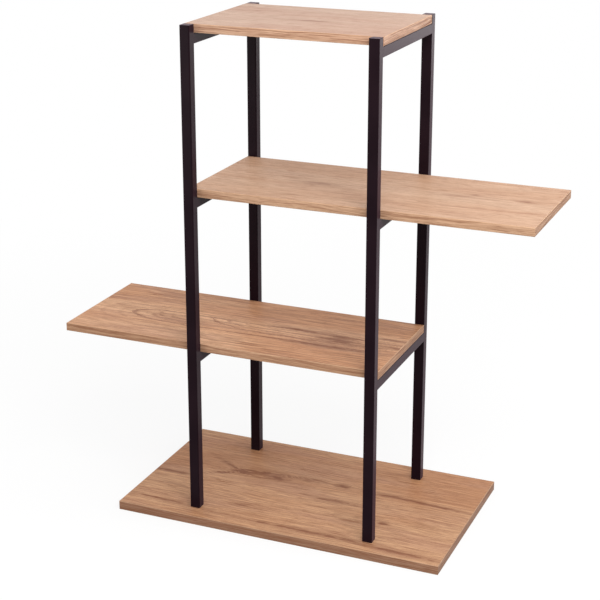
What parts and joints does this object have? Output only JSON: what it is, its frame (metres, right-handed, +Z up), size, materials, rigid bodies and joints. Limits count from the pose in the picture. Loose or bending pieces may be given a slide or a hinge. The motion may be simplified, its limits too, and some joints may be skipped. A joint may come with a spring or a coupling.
{
  "type": "shelving unit",
  "caption": "Free-standing shelving unit with two square-tube side frames on a wide base board and shelves that reach out to opposite sides.",
  "frame": {"origin": "on the floor, under the middle of the base board and of the frames", "axes": "+Z up, +X to the right seen from the front, +Y to the back"},
  "size_m": [0.94, 0.374, 0.974],
  "materials": {
    "base_laminate": "satin oak decor laminate",
    "shelf_laminate": "satin oak decor laminate",
    "edge_band": "satin wood-grain edge band",
    "powder_coat": "fine-textured dark powder coat",
    "zinc_steel": "zinc plated"
  },
  "bodies": {
    "root": {"base_board": "base_laminate", "base_bolts": "zinc_steel", "base_front_band": "edge_band", "base_left_band": "edge_band", "base_rear_band": "edge_band", "base_right_band": "edge_band", "front_left_foot_nut": "zinc_steel", "front_left_post": "powder_coat", "front_left_post_cap": "powder_coat", "front_right_foot_nut": "zinc_steel", "front_right_post": "powder_coat", "front_right_post_cap": "powder_coat", "left_frame_welds": "powder_coat", "lower_left_rail": "powder_coat", "lower_right_rail": "powder_coat", "lower_shelf_board": "shelf_laminate", "lower_shelf_front_band": "edge_band", "lower_shelf_left_band": "edge_band", "lower_shelf_rear_band": "edge_band", "lower_shelf_right_band": "edge_band", "lower_shelf_screws": "zinc_steel", "rear_left_foot_nut": "zinc_steel", "rear_left_post": "powder_coat", "rear_left_post_cap": "powder_coat", "rear_right_foot_nut": "zinc_steel", "rear_right_post": "powder_coat", "rear_right_post_cap": "powder_coat", "right_frame_welds": "powder_coat", "top_left_rail": "powder_coat", "top_right_rail": "powder_coat", "top_shelf_board": "shelf_laminate", "top_shelf_front_band": "edge_band", "top_shelf_left_band": "edge_band", "top_shelf_rear_band": "edge_band", "top_shelf_right_band": "edge_band", "top_shelf_screws": "zinc_steel", "upper_left_rail": "powder_coat", "upper_right_rail": "powder_coat", "upper_shelf_board": "shelf_laminate", "upper_shelf_front_band": "edge_band", "upper_shelf_left_band": "edge_band", "upper_shelf_rear_band": "edge_band", "upper_shelf_right_band": "edge_band", "upper_shelf_screws": "zinc_steel"}
  },
  "joints": []
}
